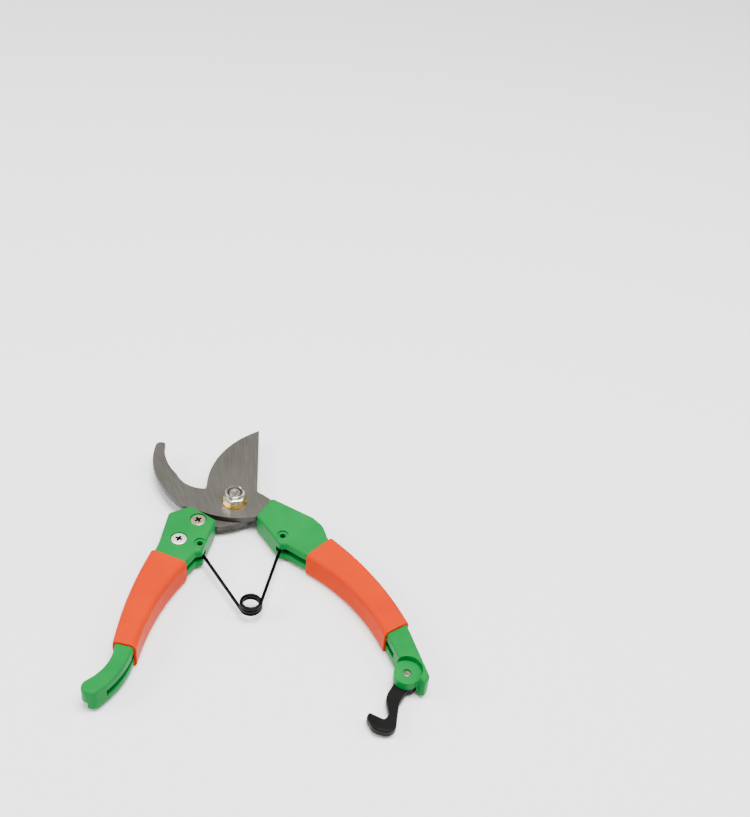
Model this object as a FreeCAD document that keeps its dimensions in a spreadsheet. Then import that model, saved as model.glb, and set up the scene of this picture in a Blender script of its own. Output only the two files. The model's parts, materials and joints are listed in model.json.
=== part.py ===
import FreeCAD, Part
import Sketcher
import math
import os

# Bypass pruning shears, lying open on a flat surface with the nut side up.  Millimetres.
# The pivot axis is the Z axis and z = 0 is the surface.  Each half is drawn as it lies when the
# shears are shut, blades towards +Y and handles towards -Y, and is then turned about the pivot
# by half the opening.  "Right" is the half with the hook and the latch, "left" the cutting blade.

doc = FreeCAD.newDocument("pruning_shears")
sheet = doc.addObject("Spreadsheet::Sheet", "sizes")
doc.recompute()


class Size:
    """A length in mm together with the spreadsheet formula that it comes from."""

    def __init__(self, number, formula):
        self.number = number
        self.formula = formula

    def __add__(self, other):
        other = as_size(other)
        return Size(self.number + other.number, "(%s + %s)" % (self.formula, other.formula))

    def __sub__(self, other):
        other = as_size(other)
        return Size(self.number - other.number, "(%s - %s)" % (self.formula, other.formula))

    def __mul__(self, other):
        other = as_size(other)
        return Size(self.number * other.number, "(%s * %s)" % (self.formula, other.formula))

    def __truediv__(self, other):
        other = as_size(other)
        return Size(self.number / other.number, "(%s / %s)" % (self.formula, other.formula))

    def __neg__(self):
        return Size(-self.number, "(0 - %s)" % self.formula)


def as_size(thing):
    return thing if isinstance(thing, Size) else Size(float(thing), repr(float(thing)))


def size(alias, number):
    """One driving dimension: a plain number in its own named cell."""
    size.row += 1
    sheet.set("A%d" % size.row, alias)
    sheet.set("B%d" % size.row, repr(float(number)))
    sheet.setAlias("B%d" % size.row, alias)
    return Size(float(number), "sizes." + alias)


size.row = 0


def point(alias, x, y):
    """A corner of an outline: two cells, NAME_x across and NAME_y along the shears."""
    return size(alias + "_x", x), size(alias + "_y", y)


# ---------------------------------------------------------------- driving dimensions
opening = size("opening_angle", 52.5).number     # degrees between shut and fully open

# heights of the layers above the surface
bolt_head_height = size("bolt_head_height", 3.2)
head_washer_thickness = size("head_washer_thickness", 1.0)
plate_thickness = size("plate_thickness", 3.0)
blade_gap = size("blade_gap", 0.1)               # the two blades slide on each other
nut_washer_thickness = size("nut_washer_thickness", 0.8)
handle_thickness = size("handle_thickness", 12.0)
handle_round = size("handle_round", 1.6)         # radius of the moulded edges
grip_wall = size("grip_wall", 1.3)
grip_fit = size("grip_fit", 0.05)
grip_lip = size("grip_lip_round", 0.5)          # radius of the outer edge at both ends of a grip
fit = size("sliding_fit", 0.05)                  # radial clearance of pins in their holes
tang_fit = size("tang_fit", 0.1)

blade_bottom = bolt_head_height + head_washer_thickness + fit
hook_bottom = blade_bottom + plate_thickness + blade_gap
hook_top = hook_bottom + plate_thickness
middle = hook_bottom - blade_gap / 2             # plane between the blades
handle_bottom = grip_wall                        # the grips lie on the surface
handle_top = handle_bottom + handle_thickness
blade_top = blade_bottom + plate_thickness

# pivot
bolt_radius = size("bolt_radius", 3.0)
bolt_head_radius = size("bolt_head_radius", 6.4)
bolt_head_flat = size("bolt_head_flat_radius", 4.2)
bolt_head_rim = size("bolt_head_rim", 1.3)
bolt_end_depth = size("bolt_end_depth", 0.5)     # bolt end below the top of the nut
head_washer_radius = size("head_washer_radius", 9.0)
nut_washer_radius = size("nut_washer_radius", 6.2)
nut_flats = size("nut_across_flats", 10.0)
nut_hex_height = size("nut_hex_height", 4.0)
nut_collar_radius = size("nut_collar_radius", 4.7)
nut_collar_height = size("nut_collar_height", 2.0)
insert_radius = size("insert_radius", 3.85)
insert_height = size("insert_height", 1.5)

# spring
wire = size("wire_diameter", 1.65)
coil_radius = size("coil_radius", 4.6)           # to the middle of the wire
coil_pitch = size("coil_pitch", 1.92)
spring_leg = size("spring_leg_length", 41.5)     # hole to coil axis
spring_tip = size("spring_tip_length", 4.6)      # bent end, up into the handle
hole_distance = size("spring_hole_distance", 35.2)
hole_spread = 16.8                               # degrees between the two holes when shut
size("spring_hole_spread", hole_spread)
hole_radius = size("spring_hole_radius", 1.5)
hole_recess_radius = size("spring_recess_radius", 2.8)
hole_recess_depth = size("spring_recess_depth", 0.8)

# handle screws
screw_radius = size("screw_radius", 2.0)
screw_head_radius = size("screw_head_radius", 3.8)
screw_head_height = size("screw_head_height", 2.2)
screw_sink = size("screw_sink", 0.15)            # head top below the handle face
screw_length = size("screw_length", 8.6)         # under the head
head_clearance = size("screw_head_clearance", 0.25)
cross_width = size("cross_slot_width", 1.1)
cross_length = size("cross_slot_length", 4.4)
cross_depth = size("cross_slot_depth", 1.2)

# core slot that the moulding has along the inner side of each handle
slot_width = size("slot_width", 3.4)
slot_depth = size("slot_depth", 4.2)
slot_fall = size("slot_fall", 6.5)               # the slot's high end slants with the spring leg

# latch and its rivet
latch_rest = 24.0                                # degrees from locked to the rest position
size("latch_rest_angle", latch_rest)
latch_pin = point("latch_pin", -1.1, -131.4)
latch_thickness = size("latch_thickness", 4.1)
latch_lift = size("latch_lift", 0.4)             # latch above the handle's lower face
latch_gap = size("latch_gap", 0.3)
latch_disc_radius = size("latch_disc_radius", 5.4)
ear_radius = size("ear_radius", 6.0)
ear_floor_depth = size("ear_floor_depth", 3.0)   # sunk disc below the handle's top face
pocket_margin = size("latch_pocket_margin", 0.8)
rivet_radius = size("rivet_radius", 1.5)
rivet_head_radius = size("rivet_head_radius", 3.1)
rivet_head_height = size("rivet_head_height", 1.1)
rivet_end_depth = size("rivet_end_depth", 0.3)
rivet_recess_radius = size("rivet_recess_radius", 1.9)
rivet_recess_depth = size("rivet_recess_depth", 0.7)

latch_bottom = handle_bottom + latch_lift
latch_top = latch_bottom + latch_thickness
ear_bottom = latch_top + latch_gap
ear_top = handle_top - ear_floor_depth


# ---------------------------------------------------------------- drawing helpers
def bind(thing, name, length):
    """Give a property its value and tie it to the sheet."""
    thing.setExpression(name, as_size(length).formula)


def new_body(label):
    body = doc.addObject("PartDesign::Body", label)
    body.Label = label
    return body


def new_sketch(body, name, level):
    """An empty sketch parallel to the surface, at a height given by the sheet."""
    sketch = body.newObject("Sketcher::SketchObject", name)
    plane = [f for f in body.Origin.OriginFeatures if f.Role == "XY_Plane"][0]
    sketch.AttachmentSupport = (plane, "")
    sketch.MapMode = "FlatFace"
    bind(sketch, "AttachmentOffset.Base.z", level)
    return sketch


def fix_point(sketch, geometry, position, place):
    for kind, length in zip(("DistanceX", "DistanceY"), place):
        number = sketch.addConstraint(
            Sketcher.Constraint(kind, -1, 1, geometry, position, length.number))
        bind(sketch, "Constraints[%d]" % number, length)


def vector(place):
    return FreeCAD.Vector(place[0].number, place[1].number, 0)


def arc_between(first, last, rise):
    """The arc from first to last that stands out by rise; + is to the right of the way it runs."""
    start, end = vector(first), vector(last)
    along = end - start
    right = FreeCAD.Vector(along.y, -along.x, 0).normalize()
    return Part.ArcOfCircle(start, (start + end) / 2 + right * rise.number, end)


def arc_radius(first, last, rise):
    chord_x = first[0] - last[0]
    chord_y = first[1] - last[1]
    return (chord_x * chord_x + chord_y * chord_y + rise * rise * 4) / (rise * 8)


def draw(sketch, start, *steps):
    """A closed outline.  Each step is a corner, or (corner, rise) for an arc that ends there."""
    here = start
    geometry = []
    for step in steps + (start,):
        is_arc = not isinstance(step[0], Size)
        there = step[0] if is_arc else step
        if is_arc:
            rise = as_size(step[1])
            curve = arc_between(here, there, rise)
            number = sketch.addGeometry(curve, False)
            clockwise = rise.number < 0
            first_end, last_end = (2, 1) if clockwise else (1, 2)
            geometry.append((number, first_end, last_end, there))
            radius = arc_radius(here, there, rise)
            if clockwise:
                radius = -radius
            constraint = sketch.addConstraint(
                Sketcher.Constraint("Radius", number, radius.number))
            bind(sketch, "Constraints[%d]" % constraint, radius)
        else:
            number = sketch.addGeometry(Part.LineSegment(vector(here), vector(there)), False)
            geometry.append((number, 1, 2, there))
        here = there
    for this, following in zip(geometry, geometry[1:] + geometry[:1]):
        sketch.addConstraint(
            Sketcher.Constraint("Coincident", this[0], this[2], following[0], following[1]))
        fix_point(sketch, this[0], this[2], this[3])
    return sketch


def heading(first, last):
    run = vector(last) - vector(first)
    return run.normalize()


def draw_rounded(sketch, *corners):
    """A closed outline of straight sides; (corner, radius) rounds that corner, a bare corner stays."""
    places = [corner if isinstance(corner[0], Size) else corner[0] for corner in corners]
    radii = [None if isinstance(corner[0], Size) else as_size(corner[1]) for corner in corners]
    count = len(corners)
    ends = []
    for number in range(count):
        here = places[number]
        before = heading(here, places[number - 1])
        after = heading(here, places[(number + 1) % count])
        reach = 0
        if radii[number]:
            reach = radii[number].number / math.tan(before.getAngle(after) / 2)
        ends.append((vector(here) + before * reach, vector(here) + after * reach, before, after))
    sides = [sketch.addGeometry(
        Part.LineSegment(ends[number][1], ends[(number + 1) % count][0]), False)
        for number in range(count)]
    for number in range(count):
        side_in, side_out = sides[number - 1], sides[number]
        start, end, before, after = ends[number]
        if not radii[number]:
            sketch.addConstraint(Sketcher.Constraint("Coincident", side_in, 2, side_out, 1))
            fix_point(sketch, side_in, 2, places[number])
            continue
        bisector = (before + after).normalize()
        half = before.getAngle(after) / 2
        radius = radii[number].number
        centre = vector(places[number]) + bisector * (radius / math.sin(half))
        arc = sketch.addGeometry(
            Part.ArcOfCircle(start, centre - bisector * radius, end), False)
        clockwise = before.cross(after).z > 0
        first_end, last_end = (2, 1) if clockwise else (1, 2)
        mark = sketch.addGeometry(Part.Point(vector(places[number])), True)
        fix_point(sketch, mark, 1, places[number])
        sketch.addConstraint([
            Sketcher.Constraint("Tangent", side_in, 2, arc, first_end),
            Sketcher.Constraint("Tangent", side_out, 1, arc, last_end),
            Sketcher.Constraint("PointOnObject", mark, 1, side_in),
            Sketcher.Constraint("PointOnObject", mark, 1, side_out)])
        constraint = sketch.addConstraint(Sketcher.Constraint("Radius", arc, radius))
        bind(sketch, "Constraints[%d]" % constraint, radii[number])
    return sketch


def draw_circle(sketch, centre, radius):
    number = sketch.addGeometry(
        Part.Circle(vector(centre), FreeCAD.Vector(0, 0, 1), radius.number), False)
    fix_point(sketch, number, 3, centre)
    constraint = sketch.addConstraint(Sketcher.Constraint("Radius", number, radius.number))
    bind(sketch, "Constraints[%d]" % constraint, radius)
    return sketch


def pad(body, sketch, height):
    feature = body.newObject("PartDesign::Pad", sketch.Name + "_pad")
    feature.Profile = sketch
    bind(feature, "Length", height)
    doc.recompute()
    return feature


def pocket(body, sketch, height):
    """Cut upwards from the sketch; a pocket that removes nothing is an error."""
    before = body.Shape.Volume
    feature = body.newObject("PartDesign::Pocket", sketch.Name + "_pocket")
    feature.Profile = sketch
    feature.Reversed = True
    bind(feature, "Length", height)
    doc.recompute()
    if not body.Shape.Volume < before - 0.01:
        raise RuntimeError(sketch.Name + " cuts nothing")
    return feature


def edges_in_plane(feature, heights):
    """Names of the edges that lie flat at one of the heights."""
    names = []
    for number, edge in enumerate(feature.Shape.Edges, 1):
        box = edge.BoundBox
        for height in heights:
            if abs(box.ZMin - height.number) < 1e-4 and abs(box.ZMax - height.number) < 1e-4:
                names.append("Edge%d" % number)
    return names


def round_edges(body, feature, names, radius):
    fillet = body.newObject("PartDesign::Fillet", feature.Name + "_round")
    fillet.Base = (feature, names)
    bind(fillet, "Radius", radius)
    doc.recompute()
    return fillet


def turn(thing, angle):
    """Swing a finished piece about the pivot axis into the open position."""
    thing.Placement = FreeCAD.Placement(
        FreeCAD.Vector(0, 0, 0), FreeCAD.Rotation(FreeCAD.Vector(0, 0, 1), angle))


origin = (as_size(0), as_size(0))
right_turn = opening / 2
left_turn = -opening / 2


def cylinder(name, radius, bottom, height, centre=origin):
    """An upright Part cylinder tied to the sheet."""
    solid = doc.addObject("Part::Cylinder", name)
    bind(solid, "Radius", radius)
    bind(solid, "Height", height)
    place(solid, centre, bottom)
    return solid


def cone(name, lower_radius, upper_radius, bottom, height):
    solid = doc.addObject("Part::Cone", name)
    bind(solid, "Radius1", lower_radius)
    bind(solid, "Radius2", upper_radius)
    bind(solid, "Height", height)
    place(solid, origin, bottom)
    return solid


def box(name, length, width, height, centre, bottom):
    """A Part box centred on a point in plan."""
    solid = doc.addObject("Part::Box", name)
    bind(solid, "Length", length)
    bind(solid, "Width", width)
    bind(solid, "Height", height)
    place(solid, (centre[0] - length / 2, centre[1] - width / 2), bottom)
    return solid


def place(solid, centre, bottom):
    bind(solid, "Placement.Base.x", centre[0])
    bind(solid, "Placement.Base.y", centre[1])
    bind(solid, "Placement.Base.z", bottom)


def fused(name, *solids):
    union = doc.addObject("Part::MultiFuse", name)
    union.Shapes = list(solids)
    return union


def cut(name, base, tool):
    difference = doc.addObject("Part::Cut", name)
    difference.Base = base
    difference.Tool = tool
    return difference


def shifted(corner, across, along=0):
    return corner[0] + across, corner[1] + along


def between(first, last, share):
    """The point a share of the way from first to last."""
    return (first[0] + (last[0] - first[0]) * share, first[1] + (last[1] - first[1]) * share)


# ---------------------------------------------------------------- places shared by the pieces
hole_angle_right = math.radians(-92.4 + hole_spread / 2)
hole_angle_left = math.radians(-92.4 - hole_spread / 2)
right_hole = (hole_distance * math.cos(hole_angle_right), hole_distance * math.sin(hole_angle_right))
left_hole = (hole_distance * math.cos(hole_angle_left), hole_distance * math.sin(hole_angle_left))

right_upper = point("right_upper_screw", 10.1, -21.3)
right_lower = point("right_lower_screw", 15.0, -35.6)
left_upper = point("left_upper_screw", -12.3, -20.2)
left_lower = point("left_lower_screw", -17.0, -34.9)

# tangs: where they leave the blade and where they end inside the handles
right_root_in = point("right_tang_root_in", 4.2, -14.5)
right_root_out = point("right_tang_root_out", 13.6, -11.2)
right_end_in = point("right_tang_end_in", 10.0, -43.0)
right_end_out = point("right_tang_end_out", 20.0, -42.0)
left_root_in = point("left_tang_root_in", -6.2, -16.4)
left_root_out = point("left_tang_root_out", -14.6, -13.2)
left_end_in = point("left_tang_end_in", -12.5, -42.5)
left_end_out = point("left_tang_end_out", -22.3, -41.5)

# handle corners that the grips share; each side turns about its bulge with a large radius
right_outer_high = point("right_outer_high", 20.5, -49.2)
right_outer_bulge = point("right_outer_bulge", 23.4, -82.5)
right_outer_low = point("right_outer_low", 14.6, -115.2)
right_inner_high = point("right_inner_high", 1.6, -40.6)
right_inner_bulge = point("right_inner_bulge", 13.7, -82.4)
right_inner_low = point("right_inner_low", 0.3, -124.0)
right_outer_radius = size("right_outer_radius", 150)
right_inner_radius = size("right_inner_radius", 99)
left_outer_high = point("left_outer_high", -25.3, -41.0)
left_outer_bulge = point("left_outer_bulge", -27.7, -74.3)
left_outer_low = point("left_outer_low", -20.1, -114.3)
left_inner_high = point("left_inner_high", -6.6, -40.8)
left_inner_bulge = point("left_inner_bulge", -17.0, -74.7)
left_inner_low = point("left_inner_low", -12.6, -115.0)
left_outer_radius = size("left_outer_radius", 209)
left_inner_radius = size("left_inner_radius", 120)


# ---------------------------------------------------------------- hook blade (right)
def drill(body, name, places, radius, level, height):
    sketch = new_sketch(body, name, level)
    for centre in places:
        draw_circle(sketch, centre, radius)
    return pocket(body, sketch, height)


def make_hook_blade():
    body = new_body("hook_blade")
    outline = new_sketch(body, "hook_outline", hook_bottom)
    draw(outline,
         point("hook_heel", 2.2, -15.3),
         right_root_in, right_end_in, right_end_out, right_root_out,
         point("hook_shoulder", 15.6, -10.2),
         (point("hook_side", 13.3, -1.0), size("hook_side_rise", 0.2)),
         (point("hook_lobe", 6.0, 12.0), size("hook_lobe_rise", 2.9)),
         (point("hook_throat", -0.5, 12.2), size("hook_throat_rise", -0.7)),
         point("hook_seat", -5.0, 15.0),
         (point("hook_bowl", -12.4, 33.5), size("hook_bowl_rise", -3.6)),
         (point("hook_tip_in", -4.4, 56.5), size("hook_mouth_rise", -2.4)),
         (point("hook_tip_out", -8.6, 59.0), size("hook_tip_rise", 1.6)),
         (point("hook_back", -22.8, 33.0), size("hook_back_rise", 2.6)),
         (point("hook_root", -22.6, 12.0), size("hook_root_rise", 1.2)),
         (point("hook_stop", -15.6, 0.0), size("hook_stop_rise", 0.1)),
         (point("hook_heel_end", 1.6, -15.0), size("hook_heel_rise", 1.6)))
    pad(body, outline, plate_thickness)
    drill(body, "hook_bolt_hole", [origin], bolt_radius + fit, hook_bottom, plate_thickness)
    drill(body, "hook_screw_holes", [right_upper, right_lower], screw_radius + tang_fit,
          hook_bottom, plate_thickness)
    turn(body, right_turn)
    return body


# ---------------------------------------------------------------- cutting blade (left)
edge_tip = point("edge_tip", -4.4, 59.5)
edge_heel = point("edge_heel", -17.8, 9.5)
edge_rise = size("edge_rise", 7.2)
bevel_width = size("bevel_width", 5.5)
bevel_height = size("bevel_height", 2.7)
tip_overrun = 6.0                                # degrees that the grinding runs past the tip


def root(length):
    return Size(math.sqrt(length.number), "sqrt(%s)" % length.formula)


def bevel_cutter():
    """What grinding takes off under the round cutting edge: the space outside a flat cone."""
    radius = arc_radius(edge_tip, edge_heel, edge_rise)
    run_x = edge_heel[0] - edge_tip[0]
    run_y = edge_heel[1] - edge_tip[1]
    chord = root(run_x * run_x + run_y * run_y)
    inward = (radius - edge_rise) / chord
    centre = ((edge_tip[0] + edge_heel[0]) / 2 - run_y * inward,
              (edge_tip[1] + edge_heel[1]) / 2 + run_x * inward)
    below = blade_bottom - bevel_height
    ring = cylinder("bevel_ring", radius + bevel_width, below, bevel_height * 2, centre)
    core = cone("bevel_core", radius - bevel_width * 2, radius, below, bevel_height * 2)
    place(core, centre, below)
    first = math.atan2(edge_tip[1].number - centre[1].number, edge_tip[0].number - centre[0].number)
    last = math.atan2(edge_heel[1].number - centre[1].number, edge_heel[0].number - centre[0].number)
    sweep = math.degrees(last - first) % 360 + tip_overrun
    ring.Angle = sweep
    ring.Placement.Rotation = FreeCAD.Rotation(
        FreeCAD.Vector(0, 0, 1), math.degrees(first) - tip_overrun)
    return cut("bevel_cutter", ring, core)


def make_cutting_blade():
    body = new_body("cutting_blank")
    outline = new_sketch(body, "cutting_outline", blade_bottom)
    draw(outline,
         edge_tip,
         (edge_heel, edge_rise),
         point("blade_cheek", -18.0, -8.0),
         point("blade_shoulder", -16.8, -11.9),
         left_root_out, left_end_out, left_end_in, left_root_in,
         point("blade_heel", -3.9, -17.0),
         (point("blade_side", 13.0, -3.5), size("blade_side_rise", 1.8)),
         (point("spine_root", 8.4, 12.0), size("spine_root_rise", 2.0)))
    pad(body, outline, plate_thickness)
    drill(body, "blade_bolt_hole", [origin], bolt_radius + fit, blade_bottom, plate_thickness)
    drill(body, "blade_screw_holes", [left_upper, left_lower], screw_radius + tang_fit,
          blade_bottom, plate_thickness)
    blade = cut("cutting_blade", body, bevel_cutter())
    turn(blade, left_turn)
    return blade


# ---------------------------------------------------------------- handles
corner_round = size("handle_corner_round", 2.0)


def tang_pocket(body, name, corners, side, plate_bottom):
    """The slot that takes the tang, open towards the blade.  side is +1 on the right half."""
    root_in, root_out, end_in, end_out = corners
    gap = tang_fit * side
    run = handle_thickness / 3
    sketch = new_sketch(body, name, plate_bottom - tang_fit)
    draw(sketch,
         shifted(root_in, -gap, run), shifted(root_in, -gap), shifted(end_in, -gap, -tang_fit),
         shifted(end_out, gap, -tang_fit), shifted(root_out, gap), shifted(root_out, gap, run))
    return pocket(body, sketch, plate_thickness + tang_fit * 2)


def spring_hole(body, name, centre):
    """A through hole for the bent end of the spring, with a shallow round recess on both faces."""
    drill(body, name + "_bore", [centre], hole_radius, handle_bottom, handle_thickness)
    drill(body, name + "_recess_under", [centre], hole_recess_radius, handle_bottom,
          hole_recess_depth)
    drill(body, name + "_recess_over", [centre], hole_recess_radius,
          handle_top - hole_recess_depth, hole_recess_depth)


def core_slot(body, name, *outline):
    sketch = new_sketch(body, name, middle - slot_width / 2)
    draw_rounded(sketch, *outline)
    return pocket(body, sketch, slot_width)


def moulded(body, outline):
    """Pad the outline of a handle and round the edges of its two faces."""
    feature = pad(body, outline, handle_thickness)
    return round_edges(body, feature, edges_in_plane(feature, [handle_bottom, handle_top]),
                       handle_round)


def make_left_handle():
    body = new_body("left_handle")
    outline = new_sketch(body, "left_handle_outline", handle_bottom)
    draw_rounded(
        outline,
        (point("left_inner_top", -4.0, -17.5), corner_round),
        (point("left_outer_top", -18.8, -11.8), corner_round),
        (point("left_knee", -27.7, -19.6), 3.0),
        (left_outer_high, 40),
        (left_outer_bulge, left_outer_radius),
        (left_outer_low, 22),
        (point("left_tail_side", -28.7, -125.2), 4.0),
        (point("left_tail_tip", -26.2, -129.6), 3.4),
        (point("left_tail_inner", -20.7, -129.4), 3.4),
        (left_inner_low, 40),
        (left_inner_bulge, left_inner_radius),
        (left_inner_high, corner_round / 2),
        (point("left_boss", -3.9, -39.6), corner_round))
    moulded(body, outline)
    tang_pocket(body, "left_tang_pocket",
                (left_root_in, left_root_out, left_end_in, left_end_out), -1, blade_bottom)
    spring_hole(body, "left_spring_hole", left_hole)
    slot_top = left_hole[1] + hole_radius * 2
    slot_side = left_hole[0] - hole_radius
    outside = as_size(3)
    core_slot(body, "left_core_slot",
              (outside, slot_top - slot_fall), (slot_side, slot_top), (slot_side, left_hole[1] - slot_width),
              shifted(left_inner_high, -slot_depth, -slot_depth),
              (shifted(left_inner_bulge, -slot_depth), left_inner_radius),
              (shifted(left_inner_low, -slot_depth), 25),
              point("left_slot_end", -20.6, -123.3),
              (outside, point("left_slot_mouth", -10.0, -126.8)[1]))
    head_depth = screw_sink + screw_head_height
    drill(body, "left_screw_seats", [left_upper, left_lower], screw_head_radius + head_clearance,
          handle_top - head_depth, head_depth)
    drill(body, "left_screw_holes", [left_upper, left_lower], screw_radius + fit,
          handle_top - head_depth - screw_length, screw_length)
    under_tail = new_sketch(body, "catch_recess", handle_bottom)
    post_top = point("catch_post_top", -24.0, -121.0)
    draw_rounded(
        under_tail,
        shifted(post_top, -handle_thickness, 0),
        shifted(post_top, -handle_thickness, -handle_thickness * 2),
        shifted(post_top, 0, -handle_thickness * 2),
        post_top)
    pocket(body, under_tail, ear_bottom - handle_bottom)
    turn(body, left_turn)
    return body


def make_right_handle():
    body = new_body("right_handle")
    outline = new_sketch(body, "right_handle_outline", handle_bottom)
    ear_corner = ear_radius * (1 / math.cos(math.radians(37.5)))
    draw_rounded(
        outline,
        (point("right_inner_top", 1.7, -16.1), corner_round),
        (point("right_boss", -1.1, -38.9), corner_round),
        (right_inner_high, corner_round / 2),
        (right_inner_bulge, right_inner_radius),
        (right_inner_low, corner_round),
        (shifted(latch_pin, ear_corner * math.cos(math.radians(157.5)),
                 ear_corner * math.sin(math.radians(157.5))), ear_radius * 0.95),
        (shifted(latch_pin, ear_corner * math.cos(math.radians(232.5)), -ear_radius),
         ear_radius * 0.95),
        (shifted(latch_pin, 1.0, -ear_radius), corner_round / 2),
        (point("right_lip", 0.3, -141.3), corner_round / 2),
        (point("right_end", 4.3, -140.3), 2.5),
        (right_outer_low, 30),
        (right_outer_bulge, right_outer_radius),
        (right_outer_high, 5),
        (point("right_hip_low", 23.9, -41.5), 8),
        (point("right_hip_high", 23.6, -34.0), 10),
        (point("right_outer_top", 15.2, -10.9), corner_round))
    moulded(body, outline)
    tang_pocket(body, "right_tang_pocket",
                (right_root_in, right_root_out, right_end_in, right_end_out), 1, hook_bottom)
    spring_hole(body, "right_spring_hole", right_hole)
    slot_top = right_hole[1] + hole_radius * 2
    slot_side = right_hole[0] + hole_radius
    outside = as_size(-5)
    core_slot(body, "right_core_slot",
              (slot_side, slot_top), (outside, slot_top - slot_fall),
              (outside, point("right_slot_mouth", -5.0, -119.5)[1]),
              point("right_slot_end", 5.4, -119.5),
              (shifted(right_inner_bulge, slot_depth), right_inner_radius),
              shifted(right_inner_high, slot_depth, -slot_depth),
              (slot_side, right_hole[1] - slot_width))
    head_depth = screw_sink + screw_head_height
    drill(body, "right_screw_seats", [right_upper, right_lower],
          screw_head_radius + head_clearance, handle_bottom, head_depth)
    drill(body, "right_screw_holes", [right_upper, right_lower], screw_radius + fit,
          handle_bottom + head_depth, screw_length)
    drill(body, "ear_floor", [latch_pin], ear_radius + pocket_margin, ear_top, ear_floor_depth)
    drill(body, "latch_pocket", [latch_pin], latch_disc_radius + pocket_margin, handle_bottom,
          ear_bottom - handle_bottom)
    drill(body, "rivet_recess", [latch_pin], rivet_recess_radius, ear_top - rivet_recess_depth,
          rivet_recess_depth)
    drill(body, "rivet_hole", [latch_pin], rivet_radius + fit, ear_bottom, ear_top - ear_bottom)
    turn(body, right_turn)
    return body


# ---------------------------------------------------------------- grips
# how far along each side of the handle outline, from its corner to its bulge, a grip ends
left_ends = (size("left_grip_outer_high", 0.15), size("left_grip_outer_low", 0.30),
             size("left_grip_inner_low", 0.315), size("left_grip_inner_high", 0.25))
right_ends = (size("right_grip_outer_high", 0.054), size("right_grip_outer_low", 0.067),
              size("right_grip_inner_low", 0.30), size("right_grip_inner_high", 0.297))
bore_overrun = 0.14                              # the bore runs past both ends by this share


def sleeve_solid(name, sides, ends, wall, outward, overrun, edge_round, lip=None):
    """The handle outline between the grip ends, grown by wall all round and rounded lengthwise."""
    outer_high, outer_bulge, outer_low, outer_radius = sides[0]
    inner_high, inner_bulge, inner_low, inner_radius = sides[1]
    body = new_body(name)
    sketch = new_sketch(body, name + "_outline", handle_bottom - wall)
    out = wall * outward
    corners = [shifted(between(outer_high, outer_bulge, ends[0] - overrun), out),
               (shifted(outer_bulge, out), outer_radius + wall),
               shifted(between(outer_low, outer_bulge, ends[1] - overrun), out),
               shifted(between(inner_low, inner_bulge, ends[2] - overrun), -out),
               (shifted(inner_bulge, -out), inner_radius - wall),
               shifted(between(inner_high, inner_bulge, ends[3] - overrun), -out)]
    if outward > 0:
        corners.reverse()
    draw_rounded(sketch, *corners)
    feature = pad(body, sketch, handle_thickness + wall * 2)
    ends_straight = [vector(corner) for corner in corners if isinstance(corner[0], Size)]
    lengthwise = []
    for edge_name in edges_in_plane(feature, [handle_bottom - wall, handle_top + wall]):
        edge = feature.Shape.getElement(edge_name)
        points = [FreeCAD.Vector(v.X, v.Y, 0) for v in edge.Vertexes]
        touching = [min(p.distanceToPoint(q) for q in ends_straight) < 1e-3 for p in points]
        if not all(touching):
            lengthwise.append(edge_name)
    feature = round_edges(body, feature, lengthwise, edge_round)
    if lip is not None:
        edges = edges_across(feature, corners[2], corners[3])
        edges += edges_across(feature, corners[5], corners[0])
        round_edges(body, feature, edges, lip)
    return body


def edges_across(feature, first, last):
    """The edges that lie in the upright plane through two corners."""
    start = vector(first)
    along = (vector(last) - start).normalize()
    names = []
    for number, edge in enumerate(feature.Shape.Edges, 1):
        low, high = edge.ParameterRange
        points = [edge.valueAt(low + (high - low) * share) - start for share in (0, 0.5, 1)]
        if all(abs(along.x * point.y - along.y * point.x) < 1e-3 for point in points):
            names.append("Edge%d" % number)
    return names


def make_grip(name, sides, ends, outward, angle):
    sleeve = sleeve_solid(name + "_sleeve", sides, ends, grip_wall, outward, 0,
                          handle_round + grip_wall, grip_lip)
    bore = sleeve_solid(name + "_bore", sides, ends, grip_fit, outward, bore_overrun, handle_round)
    grip = cut(name, sleeve, bore)
    turn(grip, angle)
    return grip


left_sides = ((left_outer_high, left_outer_bulge, left_outer_low, left_outer_radius),
              (left_inner_high, left_inner_bulge, left_inner_low, left_inner_radius))
right_sides = ((right_outer_high, right_outer_bulge, right_outer_low, right_outer_radius),
               (right_inner_high, right_inner_bulge, right_inner_low, right_inner_radius))


# ---------------------------------------------------------------- pivot bolt, washers and nut
head_cone_height = size("bolt_head_cone_height", 1.9)
washer_bottom = hook_top
nut_bottom = washer_bottom + nut_washer_thickness
nut_top = nut_bottom + nut_hex_height + nut_collar_height
bolt_top = nut_top - bolt_end_depth


def ring(name, outer_radius, inner_radius, bottom, height):
    return cut(name, cylinder(name + "_disc", outer_radius, bottom, height),
               cylinder(name + "_hole", inner_radius, bottom, height))


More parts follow.
